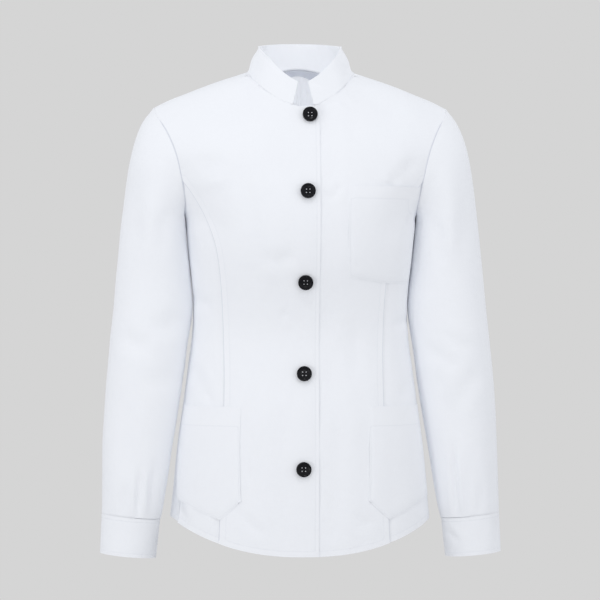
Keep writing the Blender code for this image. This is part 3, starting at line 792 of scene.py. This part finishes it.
# ---------------------------------------------------------------------------------------------
# Pockets. Three patch pockets of the same cloth: one on the left chest, and one over each princess
# seam with its lower inner corner cut off. Each mouth has a wide stitched hem, and the other edges
# are turned under and stitched close to the edge.

EDGE_STITCH = 2.0
POCKET_THICKNESS = 0.55
POCKET_PRESS, PRESS_REACH = 0.95, 8                     # its sewn edges are pressed down
DROP_FROM, DROP_SLOPE, DROP_MOST = 140, 1.5, 60         # how the chest pocket's mouth falls off
MOUTH_SPREAD = 1.5
POCKETS = (
    # name, mouth's level, mouth hem, flat width, flat length, area, the cloth that it lies on
    ("chest_pocket", -160, 17, 0.15, 0.165, 0.0205, "left"),
    ("hip_pocket_right", -456, 26.5, 0.135, 0.195, 0.0205, "right"),
    ("hip_pocket_left", -456, 26.5, 0.135, 0.195, 0.0205, "left"),
)

for node, mouth, hem, width, length, area, word in POCKETS:
    pocket = lift_cloth(f"{node}_cloth", node, (0, -1, 0))
    unevenness(pocket, 0.5, 60 + len(node))

    def at_mouth(p, mouth=mouth, chest=node == "chest_pocket"):
        # The chest pocket's mouth drops towards the armhole.
        drop = np.clip((np.abs(p[:, 0]) - DROP_FROM) * DROP_SLOPE, 0, DROP_MOST) if chest else 0
        return p[:, 2] > mouth - MOUTH_SPREAD - drop

    def sewn_down(p, at_mouth=at_mouth):
        return ~at_mouth(p)

    press_edges(pocket, POCKET_PRESS, PRESS_REACH, sewn_down)
    strips = [(hem, at_mouth), (EDGE_STITCH, sewn_down)]
    stitches = sew(pocket, node, strips, thickness=POCKET_THICKNESS)

# ---------------------------------------------------------------------------------------------
# Neck label. A strip of grey woven tape inside the back of the neck, below the collar seam, with
# its lower edge arched, and sewn down all round. It is bare. Its grey is partly painted shade, that of
# the inside of the back below the collar seam.

# the tape's grey is partly painted shade: the shade on the inside of the back below the collar seam
TAPE_GREY_AND_SHADE = (0.53, 0.55, 0.62, 1)
TAPE_LIGHT = (0.66, 0.685, 0.74, 1)
# painted shade in the grooves of the label's stitches
TAPE_GROOVE_SHADE = (0.48, 0.5, 0.56, 1)
TAPE_THICKNESS, TAPE_STITCH, TAPE_PITCH = 0.5, 1.0, 0.6 * MM

tape = woven("grey_tape_weave", TAPE_GREY_AND_SHADE, TAPE_LIGHT, TAPE_GROOVE_SHADE, TAPE_PITCH)
label = lift_cloth("neck_label_tape", "neck_label", (0, -1, 0), 2)
stitches = sew(
    label, "neck_label", [(TAPE_STITCH, anywhere)], thickness=TAPE_THICKNESS,
    radius=60, front=1, material=tape,
)

# ---------------------------------------------------------------------------------------------
# Buttons. Five four-hole buttons turned from black casein and polished, with a raised rim and a
# dished well. Each stands off the right front on a shank of white thread, which fills its holes.

BUTTON_RADIUS, BUTTON_THICKNESS = 10.1, 3.5
WELL_STEPS = ((1.5, 0.15), (0.9, -0.65), (1.1, -0.5), (1.3, -0.3))      # each inset, and its rise
BACK_INSET, BACK_RISE = 1.6, -0.5
HOLE_RADIUS, HOLE_PITCH = 0.95, 4.6
SHANK_LENGTH, SHANK_FOOT, SHANK_HEAD = 1.7, 2.6, 3.6      # its radius at the cloth and the button
THREAD_FILL = 0.86                        # the share of a hole's width that the thread fills
THREAD_SINK, THREAD_TAIL = 0.75, 0.6      # it ends below the well, and reaches into the shank
BUTTON_ROUNDING, THREAD_ROUNDING = 0.45, 0.3
BUTTON_NODS = ((2, 0), (2, 0), (-3, 3), (-1, 3), (-2, -3))      # degrees that each hangs up and aside
CASEIN_BLACK = (0.004, 0.004, 0.005, 1)
CASEIN_GREY = (0.009, 0.009, 0.011, 1)

casein, casein_shader, start = new_material("black_casein", 0.2)
solid = start.node("ShaderNodeTexCoord", output=3)
grain = start.node("ShaderNodeTexNoise", Vector=solid, Scale=420.0, Detail=3.0)
scuffs = start.node("ShaderNodeTexNoise", Vector=solid, Scale=1500.0, Detail=2.0)
grain.mix(CASEIN_BLACK, CASEIN_GREY).feed(casein_shader.inputs["Base Color"])
(0.14 + grain * 0.08 + scuffs * 0.06).feed(casein_shader.inputs["Roughness"])
polish = start.node("ShaderNodeBump", Strength=0.12, Distance=0.1 * MM, Height=scuffs)
polish.feed(casein_shader.inputs["Normal"])
casein_shader.inputs["Specular IOR Level"].default_value = 0.14

bpy.ops.object.select_all(action="DESELECT")
bpy.ops.mesh.primitive_cylinder_add(
    vertices=72, radius=BUTTON_RADIUS * MM, depth=BUTTON_THICKNESS * MM,
    location=(0, 0, BUTTON_THICKNESS / 2 * MM),
)
button = bpy.context.active_object
bpy.ops.object.transform_apply(location=True)
bpy.ops.object.mode_set(mode="EDIT")
bpy.ops.mesh.select_all(action="DESELECT")
shape = bmesh.from_edit_mesh(button.data)
shape.faces.ensure_lookup_table()
max(shape.faces, key=lambda face: face.calc_center_median().z).select = True
bmesh.update_edit_mesh(button.data)
for inset, rise in WELL_STEPS:
    bpy.ops.mesh.inset(thickness=inset * MM, depth=rise * MM)
bpy.ops.mesh.select_all(action="DESELECT")
shape = bmesh.from_edit_mesh(button.data)
shape.faces.ensure_lookup_table()
min(shape.faces, key=lambda face: face.calc_center_median().z).select = True
bmesh.update_edit_mesh(button.data)
bpy.ops.mesh.inset(thickness=BACK_INSET * MM)
bpy.ops.transform.translate(value=(0, 0, BACK_RISE * MM))
bpy.ops.object.mode_set(mode="OBJECT")

hole_places = [(x * HOLE_PITCH / 2 * MM, y * HOLE_PITCH / 2 * MM) for x in (-1, 1) for y in (-1, 1)]
for x, y in hole_places:
    bpy.ops.mesh.primitive_cylinder_add(
        vertices=20, radius=HOLE_RADIUS * MM, depth=20 * MM, location=(x, y, 0)
    )
    drill = bpy.context.active_object
    bpy.context.view_layer.objects.active = button
    hole = button.modifiers.new("hole", "BOOLEAN")
    hole.object = drill
    bpy.ops.object.modifier_apply(modifier=hole.name)
    bpy.data.objects.remove(drill)
rounding = button.modifiers.new("rounding", "BEVEL")
rounding.width = BUTTON_ROUNDING * MM
rounding.segments = 4
rounding.limit_method = "ANGLE"
rounding.angle_limit = math.radians(9)
bpy.ops.object.modifier_apply(modifier=rounding.name)
button.data.materials.clear()
button.data.materials.append(casein)
button.data.shade_smooth()
button.data.set_sharp_from_angle(angle=math.radians(45))

bpy.ops.object.select_all(action="DESELECT")
thread_top = BUTTON_THICKNESS + sum(rise for _, rise in WELL_STEPS) - THREAD_SINK
for x, y in hole_places:
    bpy.ops.mesh.primitive_cylinder_add(
        vertices=14, radius=THREAD_FILL * HOLE_RADIUS * MM, depth=(thread_top + THREAD_TAIL) * MM,
        location=(x, y, (thread_top - THREAD_TAIL) / 2 * MM),
    )
bpy.ops.mesh.primitive_cone_add(
    vertices=20, radius1=SHANK_FOOT * MM, radius2=SHANK_HEAD * MM,
    depth=(SHANK_LENGTH + BACK_RISE) * MM, location=(0, 0, (BACK_RISE - SHANK_LENGTH) / 2 * MM),
)
shank = bpy.context.active_object
for part in [part for part in bpy.context.scene.objects if part.name.startswith("Cylinder")]:
    part.select_set(part is not button)
shank.select_set(True)
bpy.ops.object.join()
bpy.ops.object.transform_apply(location=True)
rounding = shank.modifiers.new("rounding", "BEVEL")
rounding.width = THREAD_ROUNDING * MM
rounding.segments = 3
bpy.ops.object.modifier_apply(modifier=rounding.name)
shank.data.materials.clear()
shank.data.materials.append(thread)
shank.data.shade_smooth()
shank.data.set_sharp_from_angle(angle=math.radians(60))

for number, (nod, turn) in enumerate(BUTTON_NODS, 1):
    faces = frame["nodes"][f"button_{number}"].data.polygons
    flat_back = [face for face in faces if face.normal.y > 0.9]
    area = sum(face.area for face in flat_back)
    out = -sum((face.normal * face.area for face in flat_back), Vector()).normalized()
    middle = sum((face.center * face.area for face in flat_back), Vector()) / area
    hung = Matrix.Rotation(math.radians(-turn), 4, "Z") @ Matrix.Rotation(math.radians(-nod), 4, "X")
    place_of = Matrix.Translation(middle) @ hung @ out.to_track_quat("Z", "Y").to_matrix().to_4x4()
    for made, name, slot in ((button, f"button_{number}_casein", "black_button"),
                             (shank, f"button_{number}_thread", "white_cotton")):
        copied = bpy.data.objects.new(name, made.data.copy())
        bpy.context.scene.collection.objects.link(copied)
        copied.data.transform(place_of)
        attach(copied, "root")
        if slot == "black_button":
            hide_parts(f"button_{number}")
for made in (button, shank):
    bpy.data.objects.remove(made)

# ---------------------------------------------------------------------------------------------
# Studio: a plain pale floor below the garment, which hangs in the air as on a wearer, and soft
# light from all round, with lamps on each side, in front, above and below. A very weak one inside
# the neck lights the cloth and the label there.

FLOOR_LEVEL, FLOOR_RADIUS = -0.96, 1.9
PAPER_GREY = (0.62, 0.62, 0.62, 1)
BACKDROP = (0.665, 0.665, 0.665, 1)           # a light grey sheet far behind
SOFT_BOXES = (0.765, 0.782, 0.82, 1)          # all round, and brighter than the backdrop
CAMERA_DISTANCE, CAMERA_LEVEL, CAMERA_TURN = 3.6, -0.313, math.radians(-3.3)

bpy.ops.object.select_all(action="DESELECT")
bpy.ops.mesh.primitive_circle_add(
    vertices=96, radius=FLOOR_RADIUS, fill_type="NGON", location=(0, 0, FLOOR_LEVEL)
)
floor = bpy.context.active_object
floor.name = "floor"
paper, paper_shader, _ = new_material("pale_paper", 0.9)
paper_shader.inputs["Base Color"].default_value = PAPER_GREY
floor.data.materials.append(paper)

world = bpy.data.worlds.new("studio")
bpy.context.scene.world = world
world.use_nodes = True
tone = Shade(world.node_tree).node("ShaderNodeLightPath").mix(SOFT_BOXES, BACKDROP)
tone.feed(world.node_tree.nodes["Background"].inputs["Color"])


def soft_lamp(name, place, aim, size, watts):
    lamp = bpy.data.objects.new(name, bpy.data.lights.new(name, "AREA"))
    lamp.data.shape = "DISK"
    lamp.data.size = size
    lamp.data.energy = watts
    lamp.location = place
    lamp.rotation_euler = (Vector(aim) - Vector(place)).to_track_quat("-Z", "Y").to_euler()
    lamp.visible_camera = False
    bpy.context.scene.collection.objects.link(lamp)


soft_lamp("left_lamp", (-2.6, -2.4, 0.1), (0, 0, -0.3), 2.2, 6)
soft_lamp("right_lamp", (2.6, -2.4, 0.1), (0, 0, -0.3), 2.2, 6)
soft_lamp("front_lamp", (-0.1, -3.9, -0.2), (0, 0, -0.3), 1.0, 5)
soft_lamp("high_lamp", (-0.1, -1.35, 2.2), (0, 0, -0.2), 0.25, 6)
soft_lamp("low_lamp", (-1.8, -2.2, -1.0), (0, 0, -0.35), 0.25, 6)
soft_lamp("neck_lamp", (0, -0.02, -0.1), (0, 0.06, 0), 0.05, 0.05)

camera = bpy.data.objects.new("camera", bpy.data.cameras.new("camera"))
bpy.context.scene.collection.objects.link(camera)
camera.data.lens = 156.5
camera.data.clip_end = 50
camera.location = (
    CAMERA_DISTANCE * math.sin(CAMERA_TURN), -CAMERA_DISTANCE * math.cos(CAMERA_TURN), CAMERA_LEVEL
)
camera.rotation_euler = (math.pi / 2, 0, CAMERA_TURN)
bpy.context.scene.camera = camera
bpy.context.scene.view_settings.view_transform = "Standard"
# White cloth passes light on many times before it fades, which is what fills its folds with light.
bpy.context.scene.cycles.diffuse_bounces = 12
bpy.context.scene.cycles.max_bounces = 16
